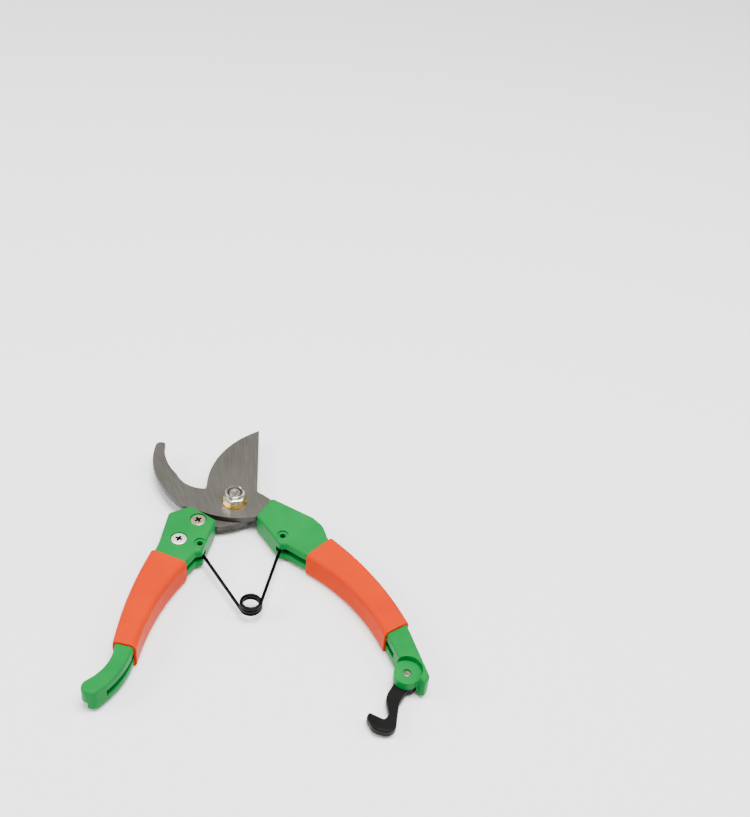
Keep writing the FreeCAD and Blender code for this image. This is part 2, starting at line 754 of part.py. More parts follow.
def make_pivot():
    bolt = fused("pivot_bolt",
                 cone("bolt_head_cone", bolt_head_flat, bolt_head_radius, as_size(0),
                      head_cone_height),
                 cylinder("bolt_head_rim", bolt_head_radius, head_cone_height,
                          bolt_head_height - head_cone_height),
                 cylinder("bolt_shank", bolt_radius, bolt_head_height,
                          bolt_top - bolt_head_height))
    head_washer = ring("head_washer", head_washer_radius, bolt_radius + fit, bolt_head_height,
                       head_washer_thickness)
    nut_washer = ring("nut_washer", nut_washer_radius, bolt_radius + fit, washer_bottom,
                      nut_washer_thickness)
    hexagon = doc.addObject("Part::Prism", "nut_hexagon")
    hexagon.Polygon = 6
    bind(hexagon, "Circumradius", nut_flats / 2 * (1 / math.cos(math.radians(30))))
    bind(hexagon, "Height", nut_hex_height)
    place(hexagon, origin, nut_bottom)
    blank = fused("nut_blank", hexagon,
                  cylinder("nut_collar", nut_collar_radius, nut_bottom + nut_hex_height,
                           nut_collar_height))
    bore = fused("nut_bore",
                 cylinder("nut_thread", bolt_radius + fit, nut_bottom, nut_top - nut_bottom),
                 cylinder("nut_recess", insert_radius, nut_top - insert_height, insert_height))
    nut = cut("pivot_nut", blank, bore)
    insert = ring("nut_insert", insert_radius, bolt_radius + fit, nut_top - insert_height,
                  insert_height)
    return [bolt, head_washer, nut_washer, nut, insert]


# ---------------------------------------------------------------- handle screws
head_edge = size("screw_head_edge", 0.6)


def make_screw(name, centre, seat, upward, angle):
    """A pan head screw; upward is +1 when the head looks up."""
    flat = screw_head_height - head_edge
    cross_turn = FreeCAD.Rotation(FreeCAD.Vector(0, 0, 1), 45)
    if upward > 0:
        rim = cylinder(name + "_rim", screw_head_radius, seat, flat, centre)
        edge = cone(name + "_edge", screw_head_radius, screw_head_radius - head_edge, seat + flat,
                    head_edge)
        shank = cylinder(name + "_shank", screw_radius, seat - screw_length, screw_length, centre)
        cross_bottom = seat + screw_head_height - cross_depth
    else:
        rim = cylinder(name + "_rim", screw_head_radius, seat - flat, flat, centre)
        edge = cone(name + "_edge", screw_head_radius - head_edge, screw_head_radius,
                    seat - screw_head_height, head_edge)
        shank = cylinder(name + "_shank", screw_radius, seat, screw_length, centre)
        cross_bottom = seat - screw_head_height
    place(edge, centre, seat + flat if upward > 0 else seat - screw_head_height)
    across = box(name + "_slot_across", cross_length, cross_width, cross_depth, centre,
                 cross_bottom)
    along = box(name + "_slot_along", cross_width, cross_length, cross_depth, centre, cross_bottom)
    screw = cut(name, fused(name + "_blank", rim, edge, shank),
                fused(name + "_cross", across, along))
    turn(screw, angle)
    return screw


def make_screws():
    depth = screw_sink + screw_head_height
    top_seat = handle_top - depth
    bottom_seat = handle_bottom + depth
    return [make_screw("left_upper_screw", left_upper, top_seat, 1, left_turn),
            make_screw("left_lower_screw", left_lower, top_seat, 1, left_turn),
            make_screw("right_upper_screw", right_upper, bottom_seat, -1, right_turn),
            make_screw("right_lower_screw", right_lower, bottom_seat, -1, right_turn)]


# ---------------------------------------------------------------- latch and rivet
latch_edge = size("latch_edge_round", 0.8)


def make_latch():
    body = new_body("latch")
    arm = new_sketch(body, "latch_arm", latch_bottom)
    draw_rounded(
        arm,
        point("arm_root_high", 0.0, 3.4),
        (point("arm_back", -12.2, 4.4), 9.0),
        (point("mouth_inner", -19.9, -0.9), 1.6),
        (point("mouth_outer", -23.4, -0.5), 1.5),
        (point("hook_point_inner", -23.2, 7.0), 1.0),
        (point("hook_point_outer", -26.0, 7.0), 1.5),
        (point("hook_side_high", -30.2, 1.8), 5.0),
        (point("hook_side_low", -27.8, -7.6), 4.5),
        (point("arm_belly", -12.5, -2.4), 12.0),
        point("arm_root_low", 0.0, -3.2))
    feature = pad(body, arm, latch_thickness)
    round_edges(body, feature, edges_in_plane(feature, [latch_bottom, latch_top]), latch_edge)
    disc = new_sketch(body, "latch_disc", latch_bottom)
    draw_circle(disc, origin, latch_disc_radius)
    pad(body, disc, latch_thickness)
    drill(body, "latch_hole", [origin], rivet_radius + fit, latch_bottom, latch_thickness)
    swing = FreeCAD.Rotation(FreeCAD.Vector(0, 0, 1), latch_rest)
    half_turn = FreeCAD.Rotation(FreeCAD.Vector(0, 0, 1), right_turn)
    body.Placement = FreeCAD.Placement(half_turn.multVec(vector(latch_pin)),
                                       half_turn.multiply(swing))
    return body


def make_rivet():
    head_top = latch_bottom - fit
    rivet = fused("latch_rivet",
                  cylinder("rivet_head", rivet_head_radius, head_top - rivet_head_height,
                           rivet_head_height, latch_pin),
                  cylinder("rivet_shank", rivet_radius, head_top,
                           ear_top - rivet_end_depth - head_top, latch_pin))
    turn(rivet, right_turn)
    return rivet


# ---------------------------------------------------------------- spring
split_gap = 1.0                                  # degrees of wire left out between the halves


def make_spring():
    """One wire, cut in the middle of its coil into a lower left and an upper right half."""
    half_open = math.radians(opening / 2 + hole_spread / 2)
    out = hole_distance.number * math.sin(half_open)
    down = hole_distance.number * math.cos(half_open)
    reach = spring_leg.number
    coil_down = down + math.sqrt(reach ** 2 - out ** 2)
    lean = math.asin(out / reach)
    tangent = math.acos(coil_radius.number / reach)
    end_angle = math.degrees(math.pi / 2 - lean - tangent)
    total = 720 + (end_angle % 360) - (180 - end_angle) % 360
    arc = (total - split_gap) / 2
    rise = coil_pitch.number / 360
    start_z = middle.number - total * rise / 2
    axis_angle = -92.4
    rest = FreeCAD.Placement(
        FreeCAD.Vector(coil_down * math.cos(math.radians(axis_angle)),
                       coil_down * math.sin(math.radians(axis_angle)), 0),
        FreeCAD.Rotation(FreeCAD.Vector(0, 0, 1), axis_angle + 90))
    halves = []
    for name, side in (("spring_left_half", -1), ("spring_right_half", 1)):
        first = (180 - end_angle) if side < 0 else (end_angle + 360 * 3 - arc)
        first_z = start_z if side < 0 else middle.number + (total / 2 - arc) * rise
        coil = doc.addObject("Part::Helix", name + "_path")
        bind(coil, "Radius", coil_radius)
        bind(coil, "Pitch", coil_pitch)
        bind(coil, "Height", coil_pitch * (arc / 360))
        swing = FreeCAD.Rotation(FreeCAD.Vector(0, 0, 1), first)
        lift = FreeCAD.Vector(0, 0, first_z)
        coil.Placement = FreeCAD.Placement(lift, swing)
        slope = math.degrees(math.atan2(coil_pitch.number / (2 * math.pi), coil_radius.number))
        section = doc.addObject("Part::Circle", name + "_section")
        bind(section, "Radius", wire / 2)
        tilt = FreeCAD.Rotation(FreeCAD.Vector(1, 0, 0), -(90 - slope))
        section.Placement = FreeCAD.Placement(
            lift + swing.multVec(FreeCAD.Vector(coil_radius.number, 0, 0)), swing.multiply(tilt))
        turns = doc.addObject("Part::Sweep", name + "_turns")
        turns.Sections = [section]
        turns.Spine = (coil, [])
        turns.Solid = True
        turns.Frenet = True
        end = math.radians(end_angle)
        end_z = middle.number + side * total * rise / 2
        foot = FreeCAD.Vector(side * coil_radius.number * math.cos(end),
                              coil_radius.number * math.sin(end), end_z)
        hole = FreeCAD.Vector(side * out, reach * math.cos(lean), middle.number)
        leg = doc.addObject("Part::Cylinder", name + "_leg")
        bind(leg, "Radius", wire / 2)
        leg.Height = (hole - foot).Length
        leg.Placement = FreeCAD.Placement(
            foot, FreeCAD.Rotation(FreeCAD.Vector(0, 0, 1), hole - foot))
        tip = cylinder(name + "_tip", wire / 2, middle, spring_tip)
        tip.Placement.Base = hole
        tip.setExpression("Placement.Base.x", None)
        tip.setExpression("Placement.Base.y", None)
        bends = []
        for label, centre in (("foot", foot), ("elbow", hole)):
            ball = doc.addObject("Part::Sphere", name + "_" + label)
            bind(ball, "Radius", wire / 2)
            ball.Placement.Base = centre
            bends.append(ball)
        half = fused(name, turns, leg, tip, *bends)
        half.Placement = rest
        halves.append(half)
    return halves


# ---------------------------------------------------------------- build everything
pieces = [make_hook_blade(), make_cutting_blade(), make_left_handle(), make_right_handle()]
pieces.append(make_grip("left_grip", left_sides, left_ends, -1, left_turn))
pieces.append(make_grip("right_grip", right_sides, right_ends, 1, right_turn))
pieces.extend(make_pivot())
pieces.extend(make_screws())
pieces.append(make_latch())
pieces.append(make_rivet())
pieces.extend(make_spring())
doc.recompute()

for thing in doc.Objects:
    if "Invalid" in thing.State or "Error" in thing.State:
        raise RuntimeError(thing.Label + " did not rebuild: " + str(thing.State))
for piece in pieces:
    if piece.Shape.isNull() or not piece.Shape.isValid() or len(piece.Shape.Solids) != 1:
        raise RuntimeError(piece.Label + " is not one sound solid")
os.makedirs("parts", exist_ok=True)
for piece in pieces:
    piece.Shape.exportStep("parts/" + piece.Label + ".step")
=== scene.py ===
import json
import math

import bmesh
import bpy
from mathutils import Matrix, Vector


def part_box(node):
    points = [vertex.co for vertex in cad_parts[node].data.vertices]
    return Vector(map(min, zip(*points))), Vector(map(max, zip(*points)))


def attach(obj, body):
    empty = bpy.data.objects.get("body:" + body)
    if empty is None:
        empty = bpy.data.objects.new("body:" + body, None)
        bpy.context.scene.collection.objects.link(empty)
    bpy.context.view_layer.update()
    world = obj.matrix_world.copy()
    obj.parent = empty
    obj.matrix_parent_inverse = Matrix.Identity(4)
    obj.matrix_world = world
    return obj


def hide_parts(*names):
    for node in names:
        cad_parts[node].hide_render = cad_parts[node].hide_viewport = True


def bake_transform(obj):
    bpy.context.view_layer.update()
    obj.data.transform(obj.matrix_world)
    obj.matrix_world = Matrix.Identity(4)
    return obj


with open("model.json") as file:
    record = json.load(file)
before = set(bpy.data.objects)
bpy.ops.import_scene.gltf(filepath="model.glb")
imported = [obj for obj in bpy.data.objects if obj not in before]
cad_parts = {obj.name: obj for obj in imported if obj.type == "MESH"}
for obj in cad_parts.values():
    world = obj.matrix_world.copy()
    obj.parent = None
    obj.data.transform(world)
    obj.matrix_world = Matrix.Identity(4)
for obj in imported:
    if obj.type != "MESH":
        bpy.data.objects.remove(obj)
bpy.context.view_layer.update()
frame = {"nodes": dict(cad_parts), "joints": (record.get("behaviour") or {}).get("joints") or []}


# ---------------------------------------------------------------- studio
# The open shears lie on a pale sheet under three large soft boxes, and are looked at from in
# front and above.  Nothing here is part of the tool.
MM = 0.001
CAMERA_PLACE = Vector((-69.6, -403.3, 407.2)) * MM
CAMERA_AIM = Vector((90.6, 64.9, 7.3)) * MM
CAMERA_LENS = 49.33
CAMERA_SENSOR = 36
CAMERA_ROLL = math.radians(6.78)
FLOOR_SIZE = 6.0
FLOOR_DROP = 0.02 * MM                           # keeps the sheet clear of the grips
AIR_STRENGTH = 0.42
SOFT_BOX_WIDTH = 0.8


def linear(hex_colour):
    """An sRGB hex colour as the linear RGBA that shader sockets take."""
    channels = [int(hex_colour[i:i + 2], 16) / 255 for i in (1, 3, 5)]
    return [c / 12.92 if c <= 0.04045 else ((c + 0.055) / 1.055) ** 2.4 for c in channels] + [1.0]


def new_material(name):
    """An empty material, its node tree and its Principled shader."""
    material = bpy.data.materials.new(name)
    material.use_nodes = True
    tree = material.node_tree
    return material, tree, tree.nodes["Principled BSDF"]


def node(tree, kind, settings=None, **inputs):
    """One shader node.  settings are its properties; inputs are socket values or links."""
    made = tree.nodes.new("ShaderNode" + kind)
    for name, value in (settings or {}).items():
        setattr(made, name, value)
    for name, value in inputs.items():
        key = int(name[1:]) if name[0] == "_" else name.replace("_", " ")
        socket = made.inputs[key]
        if isinstance(value, bpy.types.NodeSocket):
            tree.links.new(value, socket)
        else:
            socket.default_value = value
    return made


floor_mesh = bmesh.new()
bmesh.ops.create_grid(floor_mesh, x_segments=1, y_segments=1, size=FLOOR_SIZE / 2)
bmesh.ops.translate(floor_mesh, verts=floor_mesh.verts, vec=(0, 0, -FLOOR_DROP))
floor_data = bpy.data.meshes.new("paper_floor")
floor_mesh.to_mesh(floor_data)
floor_mesh.free()
floor = bpy.data.objects.new("paper_floor", floor_data)
bpy.context.collection.objects.link(floor)
# matt, so that it shows the soft shadow under the tool and no mirror image
paper, tree, shader = new_material("matt_white_paper")
shader.inputs["Base Color"].default_value = linear("#F6F6F6")
shader.inputs["Roughness"].default_value = 0.9
floor_data.materials.append(paper)

world = bpy.data.worlds.new("studio_air")
bpy.context.scene.world = world
world.use_nodes = True
world.node_tree.nodes["Background"].inputs["Color"].default_value = linear("#FFFFFF")
world.node_tree.nodes["Background"].inputs["Strength"].default_value = AIR_STRENGTH


def soft_box(name, place, power):
    """A square area light that looks at the pivot."""
    light = bpy.data.lights.new(name, "AREA")
    light.size = SOFT_BOX_WIDTH
    light.energy = power
    lamp = bpy.data.objects.new(name, light)
    lamp.location = place
    lamp.rotation_euler = (-Vector(place)).to_track_quat("-Z", "Y").to_euler()
    bpy.context.collection.objects.link(lamp)


soft_box("soft_box_top", (0.1, -0.2, 1.5), 56)
soft_box("soft_box_left", (-1.3, 0.1, 1.0), 24)
soft_box("soft_box_right", (1.1, -0.3, 1.2), 14)

camera_data = bpy.data.cameras.new("camera")
camera_data.lens = CAMERA_LENS
camera_data.sensor_width = CAMERA_SENSOR
camera = bpy.data.objects.new("camera", camera_data)
camera.location = CAMERA_PLACE
look = (CAMERA_AIM - CAMERA_PLACE).to_track_quat("-Z", "Y")
camera.rotation_mode = "QUATERNION"
camera.rotation_quaternion = look @ Matrix.Rotation(CAMERA_ROLL, 4, "Z").to_quaternion()
bpy.context.collection.objects.link(camera)
bpy.context.scene.camera = camera


# ---------------------------------------------------------------- blades
# Two plates stamped from carbon steel: the hook on top and the cutting blade under it.  The
# faces that look to the nut are belt ground; the other side and the edges keep the black
# oxide, and the bevel along the round cutting edge is ground bright.
STEEL_LIGHT = "#85827B"
STEEL_DARK = "#737068"
OXIDE = "#33312F"
OXIDE_WORN = "#4A4744"
GRIND_SPACING = 0.5 * MM                         # coarser than the real 0.1 mm, so that it shows
SCRATCH_STRETCH = 0.04                           # scratches are 25 times longer than wide
STAIN_SCALE = 60.0                               # cloudy stains, some 17 mm apart
UPWARD = 0.5                                     # a normal this steep looks to the nut side
FLAT_BELOW = -0.97                               # steeper still is the oxide face, not the bevel


def give(node_names, material):
    """Put one material on carried-over CAD pieces."""
    for name in node_names:
        data = frame["nodes"][name].data
        data.materials.clear()
        data.materials.append(material)


def ground_steel(name, along):
    """Ground steel, black oxide where it was not ground.

    Fine scratches along an angle give the grey its lengthwise sheen; slow clouds give the
    handling stains, and worn paler patches in the oxide.
    """
    material, tree, shader = new_material(name)
    place = node(tree, "TexCoord").outputs["Object"]
    swung = node(tree, "Mapping", {"vector_type": "TEXTURE"}, Vector=place,
                 Rotation=(0, 0, along))
    stretched = node(tree, "Mapping", Vector=swung.outputs[0],
                     Scale=(SCRATCH_STRETCH / GRIND_SPACING, 1 / GRIND_SPACING, 1 / GRIND_SPACING))
    scratches = node(tree, "TexNoise", Vector=stretched.outputs[0], Scale=1.0, Detail=3.0,
                     Roughness=0.6)
    cloud = node(tree, "TexNoise", Vector=place, Scale=STAIN_SCALE, Detail=3.0, Roughness=0.5)
    mixed = node(tree, "Math", {"operation": "MULTIPLY_ADD"}, _0=scratches.outputs["Fac"], _1=0.5,
                 _2=node(tree, "Math", {"operation": "MULTIPLY"}, _0=cloud.outputs["Fac"],
                         _1=0.5).outputs[0])
    bright = node(tree, "ValToRGB", Fac=mixed.outputs[0])
    bright.color_ramp.elements[0].position = 0.32
    bright.color_ramp.elements[0].color = linear(STEEL_DARK)
    bright.color_ramp.elements[1].position = 0.68
    bright.color_ramp.elements[1].color = linear(STEEL_LIGHT)
    oxide = node(tree, "ValToRGB", Fac=cloud.outputs["Fac"])
    oxide.color_ramp.elements[0].position = 0.4
    oxide.color_ramp.elements[0].color = linear(OXIDE)
    oxide.color_ramp.elements[1].position = 0.75
    oxide.color_ramp.elements[1].color = linear(OXIDE_WORN)
    normal = node(tree, "TexCoord").outputs["Normal"]
    height = node(tree, "SeparateXYZ", Vector=normal).outputs["Z"]
    upper = node(tree, "Math", {"operation": "GREATER_THAN"}, _0=height, _1=UPWARD)
    below = node(tree, "Math", {"operation": "LESS_THAN"}, _0=height, _1=-UPWARD)
    not_flat = node(tree, "Math", {"operation": "GREATER_THAN"}, _0=height,
                    _1=FLAT_BELOW)
    bevel = node(tree, "Math", {"operation": "MULTIPLY"}, _0=below.outputs[0],
                 _1=not_flat.outputs[0])
    ground = node(tree, "Math", {"operation": "MAXIMUM"}, _0=upper.outputs[0],
                  _1=bevel.outputs[0])
    colour = node(tree, "Mix", {"data_type": "RGBA"}, _0=ground.outputs[0],
                  _6=oxide.outputs[0], _7=bright.outputs[0])
    tree.links.new(colour.outputs[2], shader.inputs["Base Color"])
    rough = node(tree, "MapRange", Value=scratches.outputs["Fac"], _1=0.3, _2=0.7, _3=0.34, _4=0.42)
    tree.links.new(rough.outputs[0], shader.inputs["Roughness"])
    bump = node(tree, "Bump", Height=scratches.outputs["Fac"], Strength=0.06, Distance=0.04 * MM)
    tree.links.new(bump.outputs[0], shader.inputs["Normal"])
    shader.inputs["Metallic"].default_value = 0.9
    return material


HOOK_GRIND = 1.75                                # radians from the X axis to the scratches
BLADE_GRIND = 1.45
give(["hook_blade"], ground_steel("ground_carbon_steel_hook", HOOK_GRIND))
give(["cutting_blade"], ground_steel("ground_carbon_steel_blade", BLADE_GRIND))


# ---------------------------------------------------------------- handles
# Hard polypropylene halves, injection moulded in a leaf green and screwed to the tangs, with a
# faint grain and slightly paler clouds.  Green, vinyl and latch are given far less gloss than
# real plastic has: with more, the white surroundings veil their colours.
GREEN = "#006A2C"
GREEN_PALE = "#007533"
MOULD_GRAIN = 0.6 * MM
PLASTIC_IOR = 1.49
PLASTIC_CLOUD = 45.0                             # pale clouds, some 22 mm apart


def moulded_plastic(name, colour, paler, roughness, grain, gloss=0.5):
    """Moulded plastic.

    A cloudy tint keeps the big faces from looking painted, a roughness that drifts with it
    breaks up the reflections, and the fine grain of the mould softens the edges' highlights.
    """
    material, tree, shader = new_material(name)
    place = node(tree, "TexCoord").outputs["Object"]
    cloud = node(tree, "TexNoise", Vector=place, Scale=PLASTIC_CLOUD, Detail=4.0, Roughness=0.55)
    tint = node(tree, "ValToRGB", Fac=cloud.outputs["Fac"])
    tint.color_ramp.elements[0].position = 0.35
    tint.color_ramp.elements[0].color = linear(colour)
    tint.color_ramp.elements[1].position = 0.7
    tint.color_ramp.elements[1].color = linear(paler)
    tree.links.new(tint.outputs[0], shader.inputs["Base Color"])
    fine = node(tree, "TexNoise", Vector=place, Scale=1 / grain, Detail=2.0, Roughness=0.5)
    rough = node(tree, "MapRange", Value=cloud.outputs["Fac"], _1=0.3, _2=0.7,
                 _3=roughness * 0.85, _4=roughness * 1.2)
    tree.links.new(rough.outputs[0], shader.inputs["Roughness"])
    bump = node(tree, "Bump", Height=fine.outputs["Fac"], Strength=0.15, Distance=0.03 * MM)
    tree.links.new(bump.outputs[0], shader.inputs["Normal"])
    shader.inputs["IOR"].default_value = PLASTIC_IOR
    shader.inputs["Specular IOR Level"].default_value = gloss
    return material


give(["left_handle", "right_handle"],
     moulded_plastic("moulded_green_polypropylene", GREEN, GREEN_PALE, 0.3, MOULD_GRAIN,
                     gloss=0.04))


# ---------------------------------------------------------------- grips
# Soft orange vinyl tubes, pulled warm over the handles so that they cling to them.
ORANGE = "#B42900"
ORANGE_PALE = "#BA2F00"
VINYL_GRAIN = 1.1 * MM
give(["left_grip", "right_grip"],
     moulded_plastic("soft_orange_vinyl", ORANGE, ORANGE_PALE, 0.32, VINYL_GRAIN, gloss=0.02))


# ---------------------------------------------------------------- pivot bolt and lock nut
# An M6 bolt with a low, faceted head passes up through both plates into a lock nut: a
# pressed hexagon with a rolled collar that holds a nylon ring.  Bolt and nut are bright zinc
# plated, the washer under the nut is yellow passivated, the one at the head is blackened.
ROUND = 64                                       # segments round a turned piece
SHARP = math.radians(28)                         # a bend over this much stays a crisp edge
PLATING_CLOUD = 350.0                            # dull and bright patches, some 3 mm apart


def plated_steel(name, colour, duller, roughness, metal=1.0):
    """Electroplated or blackened steel: a cloudy skin over turned or pressed metal.

    The clouds change both tint and roughness, so that the reflections look uneven, as they do
    on cheap plating.  metal under 1 gives a pale, brushed look that stays bright from all sides.
    """
    material, tree, shader = new_material(name)
    place = node(tree, "TexCoord").outputs["Object"]
    cloud = node(tree, "TexNoise", Vector=place, Scale=PLATING_CLOUD, Detail=3.0, Roughness=0.5)
    tint = node(tree, "ValToRGB", Fac=cloud.outputs["Fac"])
    tint.color_ramp.elements[0].position = 0.35
    tint.color_ramp.elements[0].color = linear(duller)
    tint.color_ramp.elements[1].position = 0.65
    tint.color_ramp.elements[1].color = linear(colour)
    tree.links.new(tint.outputs[0], shader.inputs["Base Color"])
    rough = node(tree, "MapRange", Value=cloud.outputs["Fac"], _1=0.3, _2=0.7,
                 _3=roughness * 0.8, _4=roughness * 1.3)
    tree.links.new(rough.outputs[0], shader.inputs["Roughness"])
    bump = node(tree, "Bump", Height=cloud.outputs["Fac"], Strength=0.03, Distance=0.03 * MM)
    tree.links.new(bump.outputs[0], shader.inputs["Normal"])
    shader.inputs["Metallic"].default_value = metal
    return material


def turned(profile, steps=ROUND):
    """Spin a closed half profile of (radius, height) in mm right round the upright axis."""
    mesh = bmesh.new()
    points = [mesh.verts.new((radius * MM, 0, height * MM)) for radius, height in profile]
    edges = [mesh.edges.new((a, b)) for a, b in zip(points, points[1:] + points[:1])]
    bmesh.ops.spin(mesh, geom=points + edges, cent=(0, 0, 0), axis=(0, 0, 1), steps=steps,
                   angle=math.tau, use_merge=True)
    bmesh.ops.remove_doubles(mesh, verts=mesh.verts, dist=0.001 * MM)
    bmesh.ops.recalc_face_normals(mesh, faces=mesh.faces)
    return mesh


def piece(name, mesh, material, body, slot, *replaced):
    """Turn a finished bmesh into a shown piece that rides on a body."""
    for face in mesh.faces:
        face.smooth = True
    for edge in mesh.edges:
        edge.smooth = len(edge.link_faces) == 2 and edge.calc_face_angle(0) < SHARP
    data = bpy.data.meshes.new(name)
    mesh.to_mesh(data)
    mesh.free()
    data.materials.append(material)
    made = bpy.data.objects.new(name, data)
    bpy.context.collection.objects.link(made)
    if body:
        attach(made, body)
    if replaced:
        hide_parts(*replaced)
    return made


def combined(mesh, tool, operation):
    """The bmesh after a boolean with a second bmesh; both are used up."""
    shapes = []
    for label, source in (("kept", mesh), ("tool", tool)):
        data = bpy.data.meshes.new(label)
        source.to_mesh(data)
        source.free()
        shape = bpy.data.objects.new(label, data)
        bpy.context.collection.objects.link(shape)
        shapes.append(shape)
    step = shapes[0].modifiers.new("join", "BOOLEAN")
    step.operation = operation
    step.object = shapes[1]
    step.solver = "EXACT"
    bpy.context.view_layer.update()
    evaluated = shapes[0].evaluated_get(bpy.context.evaluated_depsgraph_get())
    result = bmesh.new()
    result.from_mesh(evaluated.to_mesh())
    evaluated.to_mesh_clear()
    for shape in shapes:
        data = shape.data
        bpy.data.objects.remove(shape)
        bpy.data.meshes.remove(data)
    return result


NYLON_GRAIN = 0.4 * MM
bright_zinc = plated_steel("bright_zinc_steel", "#DEDACC", "#C9C4B4", 0.24)
yellow_zinc = plated_steel("yellow_zinc_steel", "#D8B860", "#B8943E", 0.28)
black_steel = plated_steel("black_oxide_steel", "#4A4846", "#2C2B2A", 0.4)
nylon = moulded_plastic("black_nylon", "#1B1B1B", "#262626", 0.5, NYLON_GRAIN)

head_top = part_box("head_washer")[0].z / MM
bolt_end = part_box("pivot_bolt")[1].z / MM
nut_low, nut_high = (corner.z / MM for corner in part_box("pivot_nut"))
BOLT_RADIUS = 3.0
HEAD_FLAT = 4.2
HEAD_RADIUS = 6.4
HEAD_RIM = 1.9                                   # height of the faceted part of the head
THREAD_PITCH = 1.0
THREAD_DEPTH = 0.5
THREAD_LENGTH = 4.0                              # drawn down from the top of the nut
THREAD_FIT = 0.05
HEX_HEIGHT = 4.0
HEX_CORNER = 5.77
COLLAR_RADIUS = 4.7
INSERT_RADIUS = 3.85

facets = bmesh.new()
bmesh.ops.create_cone(facets, cap_ends=True, segments=12, radius1=HEAD_FLAT * MM,
                      radius2=HEAD_RADIUS * MM, depth=HEAD_RIM * MM)
bmesh.ops.translate(facets, verts=facets.verts, vec=(0, 0, HEAD_RIM * MM / 2))
bmesh.ops.bevel(facets, geom=facets.edges[:], offset=0.15 * MM, offset_type="OFFSET", segments=2,
                profile=0.5, affect="EDGES", material=-1)
piece("bolt_head_facets", facets, bright_zinc, "hook_half", "bright_steel")
crest = BOLT_RADIUS - THREAD_FIT
level = nut_high - THREAD_LENGTH
grooves = [(crest, level)]
while level < bolt_end - THREAD_PITCH * 1.2:
    grooves.append((crest - THREAD_DEPTH, level + THREAD_PITCH / 2))
    grooves.append((crest, level + THREAD_PITCH))
    level += THREAD_PITCH
shank = turned([(0, HEAD_RIM - 0.3), (HEAD_RADIUS - 0.3, HEAD_RIM - 0.3),
                (HEAD_RADIUS, HEAD_RIM), (HEAD_RADIUS, head_top - 0.25),
                (HEAD_RADIUS - 0.25, head_top), (BOLT_RADIUS, head_top)]
               + grooves
               + [(crest, bolt_end - 0.3), (BOLT_RADIUS - 0.3, bolt_end),
                  (1.2, bolt_end), (0.9, bolt_end - 0.12), (0, bolt_end - 0.15)])
piece("pivot_bolt_turned", shank, bright_zinc, "hook_half", "bright_steel", "pivot_bolt")

hexagon = bmesh.new()
bmesh.ops.create_cone(hexagon, cap_ends=True, segments=6, radius1=HEX_CORNER * MM,
                      radius2=HEX_CORNER * MM, depth=HEX_HEIGHT * MM)
bmesh.ops.rotate(hexagon, verts=hexagon.verts, matrix=Matrix.Rotation(math.radians(30), 3, "Z"))
bmesh.ops.translate(hexagon, verts=hexagon.verts, vec=(0, 0, (nut_low + HEX_HEIGHT / 2) * MM))
hex_top = nut_low + HEX_HEIGHT
blank = turned([(BOLT_RADIUS + THREAD_FIT, nut_low), (5.1, nut_low), (HEX_CORNER, nut_low + 0.4),
                (HEX_CORNER, hex_top - 0.6), (COLLAR_RADIUS, hex_top),
                (BOLT_RADIUS + THREAD_FIT, hex_top)])
nut_body = combined(hexagon, blank, "INTERSECT")
piece("lock_nut_hexagon", nut_body, bright_zinc, "hook_half", "bright_steel", "pivot_nut")
collar = turned([(INSERT_RADIUS, hex_top - 0.2), (COLLAR_RADIUS, hex_top - 0.2),
                 (COLLAR_RADIUS + 0.05, hex_top + 0.5), (COLLAR_RADIUS, hex_top + 1.2),
                 (COLLAR_RADIUS - 0.1, nut_high - 0.4), (COLLAR_RADIUS - 0.3, nut_high - 0.12),
                 (COLLAR_RADIUS - 0.6, nut_high),
                 (INSERT_RADIUS + 0.15, nut_high), (INSERT_RADIUS - 0.1, nut_high - 0.3)])
piece("lock_nut_collar", collar, bright_zinc, "hook_half", "bright_steel")
ring_low = nut_high - 1.5
insert = turned([(BOLT_RADIUS + THREAD_FIT, ring_low), (INSERT_RADIUS, ring_low),
                 (INSERT_RADIUS, nut_high - 0.45), (INSERT_RADIUS - 0.15, nut_high - 0.35),
                 (BOLT_RADIUS + 0.15, nut_high - 0.5)])
piece("nylon_ring", insert, nylon, "hook_half", "black_nylon", "nut_insert")
give(["nut_washer"], yellow_zinc)
give(["head_washer"], black_steel)


# ---------------------------------------------------------------- handle screws
# Zinc plated pan head screws, two through each handle and its tang, sunk into round seats.
# The cross was pressed cold and has sloping sides; its faces below a shallow depth are
# painted dark, a painted shade for the recess.  One screw of each pair has tarnished to a dull
# yellowish grey.
SCREW_HEAD = 3.8
SCREW_SHANK = 2.0
SCREW_HEAD_HEIGHT = 2.2
SCREW_LENGTH = 8.6
CROSS_LENGTH = 5.0
CROSS_WIDTH = 1.35
CROSS_DEPTH = 1.5
CROSS_END_SLOPE = 0.45                           # what is left of the length at the bottom
CROSS_SIDE_SLOPE = 0.8                           # what is left of the width at the bottom
CROSS_PAINTED_SHADE_DEPTH = 0.12                               # below this depth the cross is painted dark as the shade in the recess
